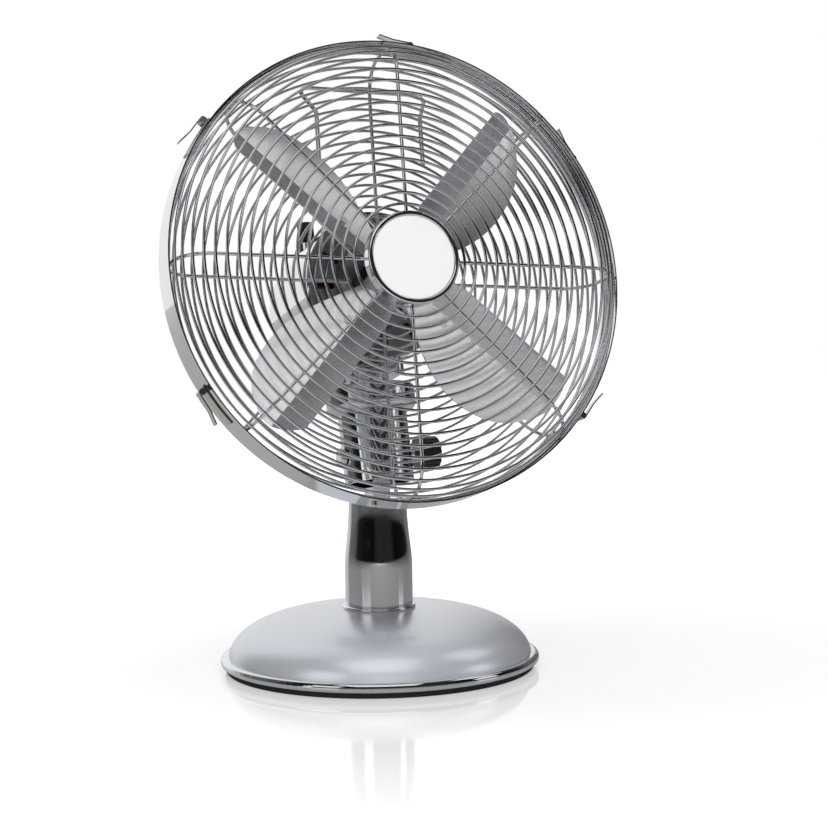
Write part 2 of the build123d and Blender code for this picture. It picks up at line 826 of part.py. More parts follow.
# The link runs from the crank pin to the fixed pin on the drum, both set out from the neck axis
link_plane = Plane(
    face_plane.from_local_coords((0, -link_bottom, -reach)), x_dir=face_plane.x_dir, z_dir=face_plane.y_dir
)
crank_end = (-clutch_offset - crank_radius, clutch_behind_neck)
drum_end = (-link_arm, 0)
with BuildPart() as drive_link:
    with BuildSketch(link_plane):
        length = hypot(crank_end[0] - drum_end[0], crank_end[1] - drum_end[1])
        lean = degrees(atan2(crank_end[1] - drum_end[1], crank_end[0] - drum_end[0]))
        with Locations(((crank_end[0] + drum_end[0]) / 2, (crank_end[1] + drum_end[1]) / 2)):
            Rectangle(length, link_width, rotation=lean)
        with Locations(crank_end, drum_end):
            Circle(link_eye_radius)
        with Locations(crank_end):
            Circle(crank_pin_radius + running_gap, mode=Mode.SUBTRACT)
        with Locations(drum_end):
            Circle(crank_pin_radius + link_play, mode=Mode.SUBTRACT)
    extrude(amount=link_thickness)
drive_link.part.label = "drive_link"
export_step(drive_link.part, "parts/drive_link.step")

with BuildPart() as link_pin:
    with BuildSketch(neck_plane.offset(drum_top)):
        with Locations((-link_arm, 0)):
            Circle(crank_pin_radius)
    extrude(amount=rise - link_top - drum_top + slip_gap)
link_pin.part.label = "link_pin"
export_step(link_pin.part, "parts/link_pin.step")

pull_knob_bottom = boss_top + pull_knob_rest
with BuildPart() as oscillation_knob:
    with BuildSketch(clutch_plane.offset(pull_knob_bottom)):
        Circle(pull_knob_radius)
        with PolarLocations(pull_knob_radius, pull_knob_ribs):
            Circle(pull_knob_flute, mode=Mode.SUBTRACT)
    extrude(amount=pull_knob_height)
    with BuildSketch(clutch_plane.offset(crank_shaft_top + pull_rod_space)):
        Circle(pull_rod_radius)
    extrude(amount=pull_knob_bottom - crank_shaft_top - pull_rod_space)
oscillation_knob.part.label = "oscillation_knob"
export_step(oscillation_knob.part, "parts/oscillation_knob.step")

# Rotor

with BuildPart() as motor_shaft:
    with BuildSketch(face_plane.offset(hub_front + hub_nut_thickness)):
        Circle(shaft_radius)
    extrude(amount=-(hub_front + hub_nut_thickness + clutch_depth + worm_length / 2 + shaft_tail))
motor_shaft.part.label = "motor_shaft"
export_step(motor_shaft.part, "parts/motor_shaft.step")

with BuildPart() as rotor_core:
    with BuildSketch(face_plane.offset(-stack_front)):
        Circle(rotor_radius)
        Circle(shaft_radius, mode=Mode.SUBTRACT)
    extrude(amount=-stack_length)
rotor_core.part.label = "rotor_core"
export_step(rotor_core.part, "parts/rotor_core.step")

blade_planes = [turned(face_plane, blade_clock + 360 / blade_count * k) for k in range(blade_count)]
sheet_planes = [turned(plane, about_x=blade_pitch) for plane in blade_planes]
half_sheet = blade_thickness / 2

for number, (blade_plane, sheet_plane) in enumerate(zip(blade_planes, sheet_planes), start=1):
    span_plane = Plane(blade_plane.origin, x_dir=blade_plane.y_dir, z_dir=blade_plane.x_dir)
    with BuildPart() as blade:
        with BuildSketch(span_plane):
            with BuildLine():
                leading = blade_belly + sheet_margin
                trailing = strip_width + sheet_margin
                FilletPolyline(
                    (-leading, -leading * tan(radians(blade_pitch))),
                    (0, 0),
                    (trailing, trailing * tan(radians(strip_pitch))),
                    radius=crease_radius,
                )
            trace(line_width=blade_thickness)
        extrude(amount=blade_tip_radius + sheet_margin)
        with BuildSketch(blade_plane.offset(-guard_depth)):
            with BuildLine():
                corner = (blade_tip_radius - tip_corner_radius, strip_width)
                shoulder = (blade_tip_radius - tip_corner_radius, -strip_width)
                belly = (blade_belly_radius, -blade_belly)
                root_out = (blade_root_radius, blade_root_half_width)
                root_in = (blade_root_radius, -blade_root_half_width)
                Polyline(root_in, root_out, (2 * blade_root_radius, strip_width), corner)
                ThreePointArc(corner, (blade_tip_radius, 0), shoulder)
                Bezier(
                    shoulder,
                    (shoulder[0] - tip_run_in, -strip_width - tip_flare),
                    (belly[0] + belly_run_out, belly[1]),
                    belly,
                )
                Bezier(
                    belly,
                    (belly[0] - belly_run_in, belly[1]),
                    (blade_root_radius + root_run_out, root_in[1] - root_flare),
                    root_in,
                )
            make_face()
        extrude(amount=2 * guard_depth, mode=Mode.INTERSECT)
        with BuildSketch(sheet_plane.offset(-blade_thickness)):
            with Locations((rivet_distance, -rivet_offset)):
                Circle(rivet_shank)
        extrude(amount=2 * blade_thickness, mode=Mode.SUBTRACT)
    blade.part.label = f"blade_{number}"
    export_step(blade.part, f"parts/blade_{number}.step")

with BuildPart() as blade_hub:
    with BuildSketch(face_plane.offset(-hub_back)):
        Circle(hub_radius)
    extrude(amount=hub_back + hub_front)
    for sheet_plane in sheet_planes:
        with BuildSketch(sheet_plane.offset(-half_sheet)):
            with Locations((arm_length / 2, -rivet_offset)):
                SlotOverall(arm_length, arm_width)
            with Locations((rivet_distance, -rivet_offset)):
                Circle(rivet_shank, mode=Mode.SUBTRACT)
        extrude(amount=-arm_thickness)
    with BuildSketch(face_plane.offset(-guard_depth)):
        Circle(shaft_radius)
    extrude(amount=2 * guard_depth, mode=Mode.SUBTRACT)
blade_hub.part.label = "blade_hub"
export_step(blade_hub.part, "parts/blade_hub.step")

with BuildPart() as blade_rivets:
    for sheet_plane in sheet_planes:
        for head_plane, height in (
            (sheet_plane.offset(half_sheet), rivet_head),
            (sheet_plane.offset(-half_sheet - arm_thickness), -rivet_head),
        ):
            with BuildSketch(head_plane):
                with Locations((rivet_distance, -rivet_offset)):
                    Circle(rivet_radius)
            extrude(amount=height)
        with BuildSketch(sheet_plane.offset(half_sheet)):
            with Locations((rivet_distance, -rivet_offset)):
                Circle(rivet_shank)
        extrude(amount=-blade_thickness - arm_thickness)
blade_rivets.part.label = "blade_rivets"
export_step(blade_rivets.part, "parts/blade_rivets.step")

with BuildPart() as hub_nut:
    with BuildSketch(face_plane.offset(hub_front)):
        RegularPolygon(hub_nut_radius, 6)
        Circle(shaft_radius, mode=Mode.SUBTRACT)
    extrude(amount=hub_nut_thickness)
hub_nut.part.label = "hub_nut"
export_step(hub_nut.part, "parts/hub_nut.step")

# Wire guard: rings welded outside bent spokes, one basket ahead of the blades and one behind

shoulder_radius = guard_radius - guard_shoulder
shoulder_depth = guard_depth - guard_shoulder
spoke_inset = ring_half + spoke_half - weld_depth
spoke_depth = guard_depth - spoke_inset
spoke_bend = guard_shoulder - spoke_inset
rim_wire_depth = rim_half + seat_gap
rim_wire_centre = shoulder_radius + spoke_bend + spoke_half + rim_half - weld_depth
face_ring_centres = [(shoulder_radius - face_ring_pitch * k, guard_depth) for k in range(face_rings)]
turn = pi / 2 / (shoulder_rings + 1)
ring_centres = face_ring_centres + [
    (shoulder_radius + guard_shoulder * sin(turn * k), shoulder_depth + guard_shoulder * cos(turn * k))
    for k in range(1, shoulder_rings + 1)
]

for name, side in (("front_guard", 1), ("rear_guard", -1)):
    with BuildPart() as wire_guard:
        with BuildSketch(guard_section):
            with Locations([(radius, side * depth) for radius, depth in ring_centres]):
                Rectangle(2 * ring_half, 2 * ring_half)
            with Locations((rim_wire_centre, side * rim_wire_depth)):
                Rectangle(2 * rim_half, 2 * rim_half)
        revolve(axis=face_axis)
        for k in range(spokes):
            spoke_plane = turned(guard_plane, 360 / spokes * k)
            with BuildSketch(Plane(face_origin, x_dir=spoke_plane.x_dir, z_dir=-spoke_plane.y_dir)):
                with BuildLine():
                    bend_start = (shoulder_radius, side * spoke_depth)
                    Line((spoke_root_radius, side * spoke_depth), bend_start)
                    bend_end = (shoulder_radius + spoke_bend, side * shoulder_depth)
                    RadiusArc(bend_start, bend_end, side * spoke_bend)
                    Line(bend_end, (shoulder_radius + spoke_bend, side * rim_wire_depth))
                trace(line_width=2 * spoke_half)
            extrude(amount=spoke_half, both=True)
        if side < 0:
            with BuildSketch(face_plane.offset(-mount_plane_depth)):
                Circle(mount_plate_radius)
                Circle(guard_nut_thread_radius + seat_gap, mode=Mode.SUBTRACT)
            extrude(amount=mount_plate_thickness)
    wire_guard.part.label = name
    export_step(wire_guard.part, f"parts/{name}.step")

with BuildPart() as guard_nut:
    with BuildSketch(face_plane.offset(mount_plate_thickness - mount_plane_depth)):
        Circle(guard_nut_radius)
        Circle(guard_nut_thread_radius, mode=Mode.SUBTRACT)
    extrude(amount=guard_nut_thickness)
guard_nut.part.label = "guard_nut"
export_step(guard_nut.part, "parts/guard_nut.step")

band_inner_radius = rim_wire_centre + rim_half + seat_gap
band_radius = band_inner_radius + band_thickness
with BuildPart() as guard_band:
    with BuildSketch(face_plane.offset(-band_width / 2)):
        Circle(band_radius)
        Circle(band_inner_radius, mode=Mode.SUBTRACT)
    extrude(amount=band_width)
guard_band.part.label = "guard_band"
export_step(guard_band.part, "parts/guard_band.step")

screw_spin = turned(face_plane, band_screw_angle)
screw_plane = Plane(
    screw_spin.from_local_coords((band_radius, 0, 0)), x_dir=face_plane.z_dir, z_dir=screw_spin.x_dir
)
with BuildPart() as band_screw:
    with BuildSketch(screw_plane):
        Circle(band_screw_radius)
    extrude(amount=band_screw_head)
band_screw.part.label = "band_screw"
export_step(band_screw.part, "parts/band_screw.step")

# Badge

bezel_back = spoke_depth + spoke_half
with BuildPart() as badge_bezel:
    with BuildSketch(face_section):
        inner = badge_radius + seat_gap
        with Locations((inner + bezel_width / 2, (bezel_back + badge_front + bezel_lip) / 2)):
            Rectangle(bezel_width, badge_front + bezel_lip - bezel_back)
    revolve(axis=face_axis)
    fillet(badge_bezel.faces().sort_by(face_axis)[-1].edges(), bezel_rounding)
badge_bezel.part.label = "badge_bezel"
export_step(badge_bezel.part, "parts/badge_bezel.step")

with BuildPart() as badge_disc:
    with BuildSketch(face_plane.offset(bezel_back)):
        Circle(badge_radius)
    extrude(amount=badge_front - bezel_back)
badge_disc.part.label = "badge_disc"
export_step(badge_disc.part, "parts/badge_disc.step")

# Carry handle, one bent wire lying on the back of the rear guard

handle_depth = guard_depth + ring_wire_radius + handle_wire_radius + running_gap
with BuildPart() as carry_handle:
    leg = handle_leg_spacing / 2
    bar = handle_bar_length / 2
    corners = [
        (-leg, handle_leg_start, -handle_depth),
        (-leg, handle_leg_end, -handle_depth),
        (-bar, handle_bar_height, -handle_depth - handle_set_back),
        (bar, handle_bar_height, -handle_depth - handle_set_back),
        (leg, handle_leg_end, -handle_depth),
        (leg, handle_leg_start, -handle_depth),
    ]
    with BuildLine() as handle_path:
        FilletPolyline(*[guard_plane.from_local_coords(point) for point in corners], radius=handle_bend_radius)
    with BuildSketch(Plane(handle_path.line @ 0, x_dir=guard_plane.x_dir, z_dir=handle_path.line % 0)):
        Circle(handle_wire_radius)
    sweep(path=handle_path.line)
carry_handle.part.label = "carry_handle"
export_step(carry_handle.part, "parts/carry_handle.step")

# Toggle latches: a bracket riveted to the band carries the pin that the lever swings on

latch_pin_arm = band_radius + latch_pin_height
latch_pin_turn = -latch_span / 2 + degrees(latch_pin_height / latch_pin_arm)
ear_space = latch_width / 2 - latch_ear
latch_barrel_radius = latch_pin_radius + running_gap + latch_barrel_wall
with BuildPart() as latch_brackets:
    for angle in latch_angles:
        start_plane = turned(face_plane, angle - latch_span / 2)
        start_section = Plane(face_origin, x_dir=start_plane.x_dir, z_dir=-start_plane.y_dir)
        with BuildSketch(start_section):
            with Locations((band_radius + latch_plate / 2, 0)):
                Rectangle(latch_plate, latch_width)
        revolve(axis=face_axis, revolution_arc=latch_span)
        pin_plane = turned(face_plane, angle + latch_pin_turn)
        for outward in (1, -1):
            with BuildSketch(pin_plane.offset(outward * ear_space)):
                with Locations((latch_pin_arm, 0)):
                    Circle(latch_pin_radius + latch_ear)
                with Locations((band_radius + latch_pin_height / 2 + latch_plate / 4, 0)):
                    Rectangle(latch_pin_height - latch_plate / 2, 2 * (latch_pin_radius + latch_ear))
            extrude(amount=outward * latch_ear)
        with BuildSketch(pin_plane.offset(-ear_space)):
            with Locations((latch_pin_arm, 0)):
                Circle(latch_pin_radius)
        extrude(amount=2 * ear_space)
latch_brackets.part.label = "latch_brackets"
export_step(latch_brackets.part, "parts/latch_brackets.step")

for number, angle in enumerate(latch_angles, start=1):
    pin_plane = turned(face_plane, angle + latch_pin_turn)
    lever_half_width = ear_space - slip_gap
    with BuildPart() as latch_lever:
        with BuildSketch(pin_plane.offset(-lever_half_width)):
            with BuildLine():
                crown = latch_pin_arm + latch_barrel_radius - latch_lever_thickness / 2
                FilletPolyline(
                    (crown, 0),
                    (crown, latch_bend),
                    (crown + (latch_lever_length - latch_bend) * sin(radians(latch_lift)), latch_lever_length),
                    radius=latch_bend_radius,
                )
            trace(line_width=latch_lever_thickness)
            with Locations((latch_pin_arm, 0)):
                Circle(latch_barrel_radius)
                Circle(latch_pin_radius + running_gap, mode=Mode.SUBTRACT)
        extrude(amount=2 * lever_half_width)
    latch_lever.part.label = f"latch_lever_{number}"
    export_step(latch_lever.part, f"parts/latch_lever_{number}.step")
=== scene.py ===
# %% [markdown]
# # A retro chrome desk fan
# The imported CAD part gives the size, the place and the joints of every piece. This lesson dresses it for a
# picture: round wires for the guards, a finish for every piece, a white studio and a long lens.

# %% Load the frame
import json
from math import cos, pi, radians, sin

import bmesh
import bpy
from mathutils import Matrix, Vector


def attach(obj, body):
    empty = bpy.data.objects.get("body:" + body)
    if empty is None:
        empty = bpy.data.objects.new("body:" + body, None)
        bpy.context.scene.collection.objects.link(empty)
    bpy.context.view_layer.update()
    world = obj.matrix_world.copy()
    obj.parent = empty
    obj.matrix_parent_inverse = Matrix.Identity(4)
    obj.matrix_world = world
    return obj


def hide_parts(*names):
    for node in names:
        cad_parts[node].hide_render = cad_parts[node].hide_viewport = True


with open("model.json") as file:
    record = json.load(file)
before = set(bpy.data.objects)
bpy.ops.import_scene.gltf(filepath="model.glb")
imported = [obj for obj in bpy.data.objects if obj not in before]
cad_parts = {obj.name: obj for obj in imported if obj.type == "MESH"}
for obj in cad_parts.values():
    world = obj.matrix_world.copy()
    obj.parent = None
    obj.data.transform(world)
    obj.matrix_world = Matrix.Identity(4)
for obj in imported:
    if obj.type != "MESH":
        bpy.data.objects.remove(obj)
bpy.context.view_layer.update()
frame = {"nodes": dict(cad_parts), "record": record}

nodes = frame["nodes"]
print(len(nodes), "CAD nodes loaded")

# %% [markdown]
# ## Sums of sockets
# A finish is a graph of nodes, and a long chain of Math nodes is hard to read when each is made by hand.
# `Value` wraps one socket and overloads plus and times, so that `noise * 0.1 + 0.2` adds the nodes for us.

# %% A socket that can be added and multiplied
class Value:
    def __init__(self, finish, socket):
        self.finish = finish
        self.socket = socket

    def combine(self, operation, other):
        return self.finish.node("ShaderNodeMath", 0, {"operation": operation}, {0: self, 1: other})

    def __add__(self, other):
        return self.combine("ADD", other)

    def __mul__(self, other):
        return self.combine("MULTIPLY", other)

    __radd__ = __add__
    __rmul__ = __mul__


print("sockets can be added and multiplied")

# %% [markdown]
# ## Finishes
# `Finish` holds the node tree of a material, or of the world. Its `node` makes any node from its type, its
# settings and its inputs, and the other methods name the few chains that come back. Noise is read in Object
# coordinates, in metres, so a grain has its real size and moves with the piece.

# %% A material and its nodes
NOISE_DETAIL = 3.0


class Finish:
    def __init__(self, name, block=None):
        self.block = block or bpy.data.materials.new(name)
        self.block.use_nodes = True
        self.tree = self.block.node_tree

    def feed(self, socket, value):
        if isinstance(value, Value):
            self.tree.links.new(value.socket, socket)
        else:
            socket.default_value = value

    def node(self, kind, output, settings, inputs):
        made = self.tree.nodes.new(kind)
        for key, setting in settings.items():
            if key == "stops":
                self.set_stops(made.color_ramp.elements, setting)
            else:
                setattr(made, key, setting)
        for key, value in inputs.items():
            self.feed(made.inputs[key], value)
        return Value(self, made.outputs[output])

    def set_stops(self, elements, stops):
        while len(elements) < len(stops):
            elements.new(1.0)
        for element, (place, level) in zip(elements, stops):
            element.position = place
            element.color = (level, level, level, 1)

    def ramp(self, value, stops):
        return self.node("ShaderNodeValToRGB", "Color", {"stops": stops}, {"Fac": value})

    def noise(self, scale, stretch=(1, 1, 1)):
        place = self.node("ShaderNodeTexCoord", "Object", {}, {})
        mapped = self.node("ShaderNodeMapping", "Vector", {}, {"Vector": place, "Scale": stretch})
        inputs = {"Vector": mapped, "Scale": scale, "Detail": NOISE_DETAIL}
        return self.node("ShaderNodeTexNoise", "Fac", {}, inputs)

    def surface(self, inputs):
        for key, value in inputs.items():
            self.feed(self.tree.nodes["Principled BSDF"].inputs[key], value)
        return self


print("noise has a detail of", NOISE_DETAIL)

# %% [markdown]
# ## Metal finishes
# Most of this fan is plated steel. Chrome is a mirror with a trace of haze, which slow noise in the roughness
# gives: an even mirror looks computed. Nickel on the latches is warmer and duller, and the blades are rolled
# aluminium, whose fine lines are the same noise, stretched.

# %% Metals
HAZE_SCALE = 16.0
ROLLING_STRETCH = (700, 700, 30)


def plated(name, colour, roughness, haze):
    """A metal whose roughness drifts slowly by haze."""
    finish = Finish(name)
    return finish.surface({
        "Base Color": (*colour, 1),
        "Metallic": 1.0,
        "Roughness": finish.noise(HAZE_SCALE) * haze + (roughness - haze / 2),
    })


def rolled(name, colour, roughness, lines):
    """Sheet metal with fine rolling lines in its roughness."""
    finish = Finish(name)
    return finish.surface({
        "Base Color": (*colour, 1),
        "Metallic": 1.0,
        "Roughness": finish.noise(1.0, ROLLING_STRETCH) * lines + (roughness - lines / 2),
    })


finishes = {
    "chrome": plated("chrome plate", (0.78, 0.79, 0.81), 0.06, 0.03),
    "blade_aluminium": rolled("rolled aluminium", (0.82, 0.83, 0.85), 0.18, 0.05),
    "nickel": plated("warm nickel", (0.72, 0.69, 0.63), 0.22, 0.06),
    "steel": plated("plain steel", (0.50, 0.51, 0.53), 0.34, 0.10),
    "cast_iron": plated("cast iron", (0.20, 0.20, 0.20), 0.55, 0.20),
    "brass": plated("machined brass", (0.75, 0.58, 0.28), 0.25, 0.06),
    "copper": plated("enamelled copper wire", (0.72, 0.38, 0.22), 0.35, 0.10),
}
print(len(finishes), "metal finishes")

# %% [markdown]
# ## Plastic, rubber and enamel
# The knobs are moulded plastic with a fine spark-eroded grain, the foot ring is rubber and the badge is white
# enamel. Such a grain is a tenth of a millimetre deep or less, too fine to model, so a bump from fine noise
# stands for it.

# %% Non-metals
GRAIN_STRENGTH = 0.3
WEAR_SCALE = 40.0
WEAR = 0.1


def moulded(name, colour, roughness, grain, depth):
    """A plain colour with a fine grain of that depth in metres."""
    finish = Finish(name)
    inputs = {"Strength": GRAIN_STRENGTH, "Distance": depth, "Height": finish.noise(grain)}
    return finish.surface({
        "Base Color": (*colour, 1),
        "Roughness": finish.noise(WEAR_SCALE) * WEAR + (roughness - WEAR / 2),
        "Normal": finish.node("ShaderNodeBump", "Normal", {}, inputs),
    })


finishes["black_plastic"] = moulded("black moulding", (0.012, 0.012, 0.013), 0.36, 900.0, 0.00005)
finishes["black_rubber"] = moulded("black rubber", (0.012, 0.012, 0.012), 0.70, 500.0, 0.0001)
finishes["black_paint"] = moulded("black paint", (0.02, 0.02, 0.02), 0.50, 700.0, 0.00005)
finishes["white_enamel"] = moulded("white enamel", (0.86, 0.86, 0.85), 0.20, 60.0, 0.00002)
print(len(finishes), "finishes in all")

# %% [markdown]
# ## Silver lacquer
# The dome looks paler and more even than the plated column. Whether it is plated too can't be told for sure,
# so it is dressed as silver lacquer under a clear gloss, which gives that look. Half metal makes a silver body
# that is bright from any side, and the coat adds a soft reflection of the column.

# %% Lacquer
SPRAY_SCALE = 30.0
SPRAY_DRIFT = 0.05

lacquer = Finish("silver lacquer")
finishes["silver_lacquer"] = lacquer.surface({
    "Base Color": (0.79, 0.82, 0.88, 1),
    "Metallic": 0.5,
    "Roughness": lacquer.noise(SPRAY_SCALE) * SPRAY_DRIFT + 0.31,
    "Coat Weight": 0.4,
    "Coat IOR": 1.8,
    "Coat Roughness": 0.12,
})
print("lacquer for the dome")

# %% [markdown]
# ## Dressing the CAD pieces
# The record names a material slot for every node, so one loop dresses them all and none is forgotten. Only
# the dome differs from its slot, by its lacquer.

# %% Give each node its finish
slot_of = {part["node"]: part["material_slot"] for part in frame["record"]["subparts"]}
for name, piece in nodes.items():
    finish = "silver_lacquer" if name == "base_shell" else slot_of[name]
    piece.data.materials.clear()
    piece.data.materials.append(finishes[finish].block)
print(len(slot_of), "nodes dressed")

# %% [markdown]
# ## The head's own frame
# The head leans back, and wires are easier to model flat. So they are made with X to the right, Y up the
# guard and Z towards the viewer, and are moved into place by one matrix at the end.

# %% Place of the head
TILT = radians(16)
TILT_AXIS_HEIGHT = 0.1625
HEAD_REACH = 0.0817
HEAD_RISE = 0.1228
GUARD_CLOCK = radians(-3.3)

head_up = Vector((0, sin(TILT), cos(TILT)))
head_out = Vector((0, -cos(TILT), sin(TILT)))
head_centre = Vector((0, 0, TILT_AXIS_HEIGHT)) + HEAD_REACH * head_out + HEAD_RISE * head_up
head_matrix = Matrix.Translation(head_centre) @ Matrix.Rotation(pi / 2 - TILT, 4, "X")
clocked_head = head_matrix @ Matrix.Rotation(GUARD_CLOCK, 4, "Z")
print("head centre", [round(c, 4) for c in head_matrix.translation])

# %% [markdown]
# ## Where the wires run
# A guard is a basket of drawn wire: rings welded outside bent spokes, with a thicker wire at the rim. Rings
# of even pitch cover the flat face, and a few more follow the rounded shoulder. The places come from the wire
# sizes, so that neighbouring wires sink into each other by the depth of a weld.

# %% Wire sizes and places
GUARD_RADIUS = 0.1718
GUARD_DEPTH = 0.0325
GUARD_SHOULDER = 0.026
RING_WIRE = 0.0011
SPOKE_WIRE = 0.0014
RIM_WIRE = 0.0018
RING_PITCH = 0.0086
FACE_RINGS = 13
SHOULDER_RINGS = 4
WELD = 0.0003
SQUARED_WIRE = pi ** 0.5 / 2

shoulder_radius = GUARD_RADIUS - GUARD_SHOULDER
shoulder_depth = GUARD_DEPTH - GUARD_SHOULDER
spoke_inset = SQUARED_WIRE * (RING_WIRE + SPOKE_WIRE) - WELD
spoke_bend = GUARD_SHOULDER - spoke_inset
rim_radius = shoulder_radius + spoke_bend + SQUARED_WIRE * (SPOKE_WIRE + RIM_WIRE) - WELD
ring_places = [(shoulder_radius - RING_PITCH * k, GUARD_DEPTH) for k in range(FACE_RINGS)]
for k in range(1, SHOULDER_RINGS + 1):
    turn = pi / 2 * k / (SHOULDER_RINGS + 1)
    across = shoulder_radius + GUARD_SHOULDER * sin(turn)
    ring_places.append((across, shoulder_depth + GUARD_SHOULDER * cos(turn)))
print(len(ring_places), "rings and a rim wire on each guard")

# %% [markdown]
# ## Guard rings
# The CAD wires are squared, so the picture needs round ones. A ring could be a torus primitive, but bmesh has
# none: a small circle is spun once round the fan's axis, and use_merge closes it where it meets itself.
# Each ring is spun in a mesh of its own, because an operator slows down as its mesh grows.

# %% Ring wires
WIRE_SIDES = 10
RING_STEPS = 144


def wire_section(part, radius, place, turn):
    """The edges of a circle of wire at that place, turned to face along the wire."""
    matrix = Matrix.Translation(place) @ turn
    made = bmesh.ops.create_circle(part, cap_ends=False, segments=WIRE_SIDES, radius=radius, matrix=matrix)
    return list({edge for vert in made["verts"] for edge in vert.link_edges})


def full_spin(part, edges):
    """Spins edges once round the fan's axis."""
    bmesh.ops.spin(
        part,
        geom=edges,
        cent=(0, 0, 0),
        axis=(0, 0, 1),
        angle=2 * pi,
        steps=RING_STEPS,
        use_merge=True,
    )


def gather(work, part):
    """Moves a finished part into the work."""
    mesh = bpy.data.meshes.new("part")
    part.to_mesh(mesh)
    part.free()
    work.from_mesh(mesh)
    bpy.data.meshes.remove(mesh)


def add_ring(work, radius, out, wire):
    ring = bmesh.new()
    full_spin(ring, wire_section(ring, wire, (radius, 0, out), Matrix.Rotation(pi / 2, 4, "X")))
    gather(work, ring)


print(RING_STEPS, "steps in a ring")

# %% [markdown]
# ## Guard spokes
# A spoke runs straight out under the rings, turns through a right angle at the shoulder and ends at the rim
# wire. A curve with a bevel could draw it, but here the end of the wire is extruded for the straight parts
# and spun for a quarter turn at the bend, which puts each point where it is wanted. Then the spoke is turned
# into its place.

# %% Spoke wires
SPOKES = 8
SPOKE_ROOT = 0.024
BEND_STEPS = 10


def of_kind(parts, kind):
    return [part for part in parts if isinstance(part, kind)]


def carry_on(part, edges, step):
    """Extrudes an open end of wire by a step and returns its new end."""
    made = bmesh.ops.extrude_edge_only(part, edges=edges)["geom"]
    tips = of_kind(made, bmesh.types.BMVert)
    bmesh.ops.translate(part, verts=tips, vec=step)
    return [edge for edge in of_kind(made, bmesh.types.BMEdge) if all(vert in tips for vert in edge.verts)]


def add_spoke(work, angle, side):
    spoke = bmesh.new()
    root = (SPOKE_ROOT, 0, side * (GUARD_DEPTH - spoke_inset))
    end = wire_section(spoke, SPOKE_WIRE, root, Matrix.Rotation(pi / 2, 4, "Y"))
    end = carry_on(spoke, end, (shoulder_radius - SPOKE_ROOT, 0, 0))
    bent = bmesh.ops.spin(
        spoke,
        geom=end,
        cent=(shoulder_radius, 0, side * shoulder_depth),
        axis=(0, 1, 0),
        angle=side * pi / 2,
        steps=BEND_STEPS,
    )["geom_last"]
    end = of_kind(bent, bmesh.types.BMEdge)
    carry_on(spoke, end, (0, 0, -side * (shoulder_depth - RIM_WIRE)))
    open_ends = [edge for edge in spoke.edges if edge.is_boundary]
    bmesh.ops.holes_fill(spoke, edges=open_ends, sides=WIRE_SIDES)
    bmesh.ops.rotate(spoke, verts=spoke.verts, cent=(0, 0, 0), matrix=Matrix.Rotation(angle, 3, "Z"))
    gather(work, spoke)


print(SPOKES, "spokes on each guard")

# %% [markdown]
# ## Mounting plate
# The rear guard has a flat ring of sheet steel in its middle, which the motor is fixed to. A short line is
# spun round the axis into that ring, and the ring is extruded by the thickness of the sheet.

# %% Plate of the rear guard
PLATE_INNER = 0.0101
PLATE_OUTER = 0.033
PLATE_THICKNESS = 0.0015


def add_plate(work):
    plate = bmesh.new()
    back = -(GUARD_DEPTH + SQUARED_WIRE * RING_WIRE)
    inner = bmesh.ops.create_vert(plate, co=(PLATE_INNER, 0, back))["vert"]
    line = bmesh.ops.extrude_vert_indiv(plate, verts=inner)
    bmesh.ops.translate(plate, verts=line["verts"], vec=(PLATE_OUTER - PLATE_INNER, 0, 0))
    full_spin(plate, line["edges"])
    made = bmesh.ops.extrude_face_region(plate, geom=plate.faces[:])["geom"]
    bmesh.ops.translate(plate, verts=of_kind(made, bmesh.types.BMVert), vec=(0, 0, PLATE_THICKNESS))
    gather(work, plate)


print("plate", PLATE_OUTER * 2, "m across")

# %% [markdown]
# ## The two guards
# The front guard faces the viewer and the rear one is its mirror image, with the plate. Each replaces the
# squared wires of its CAD node and rides on the head, so it tilts and swings with it. Only edges sharper than
# a limit stay hard: the ends of the wires and the rim of the plate.

# %% Build and place the guards
MERGE_DISTANCE = 1e-7
SHARP_ANGLE = radians(50)


def guard_wires(name, node, side):
    work = bmesh.new()
    for radius, out in ring_places:
        add_ring(work, radius, side * out, RING_WIRE)
    add_ring(work, rim_radius, side * RIM_WIRE, RIM_WIRE)
    for k in range(SPOKES):
        add_spoke(work, 2 * pi * k / SPOKES, side)
    if side < 0:
        add_plate(work)
    bmesh.ops.remove_doubles(work, verts=work.verts, dist=MERGE_DISTANCE)
    bmesh.ops.recalc_face_normals(work, faces=work.faces)
    for face in work.faces:
        face.smooth = True
    for edge in work.edges:
        edge.smooth = edge.calc_face_angle(0) < SHARP_ANGLE
    bmesh.ops.transform(work, verts=work.verts, matrix=clocked_head)
    mesh = bpy.data.meshes.new(name)
    work.to_mesh(mesh)
    open_edges = sum(edge.is_boundary for edge in work.edges)
    work.free()
    guard = bpy.data.objects.new(name, mesh)
    bpy.context.scene.collection.objects.link(guard)
    mesh.materials.append(finishes["chrome"].block)
    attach(guard, "head")
    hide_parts(node)
    print(name, len(mesh.polygons), "faces,", open_edges, "open edges")


guard_wires("front_guard_wires", "front_guard", 1)
guard_wires("rear_guard_wires", "rear_guard", -1)

# %% [markdown]
# ## Floor
# The fan stands on a white glossy sheet. Its own colour is a pale grey, which the chrome reflects, and what
# the camera sees is lifted to white by emission that only camera rays meet. More light would do it too, but
# it would bleach the fan. The lift is weaker within a step of the fan, so that the shadow and a faint
# reflection stay; the weaker lift also paints a grey shade on the floor round the base.

# %% White floor
FLOOR_SIZE = 5.0
FLOOR_DROP = 0.0002
FLOOR_GREY = 0.75
FLOOR_ROUGHNESS = 0.07
# Less lift near the fan paints a grey shade on the floor round the base, on top of the real shadow.
LIFT_BY_DISTANCE_WITH_PAINTED_SHADE = [(0.15, 0.37), (0.8, 0.86)]

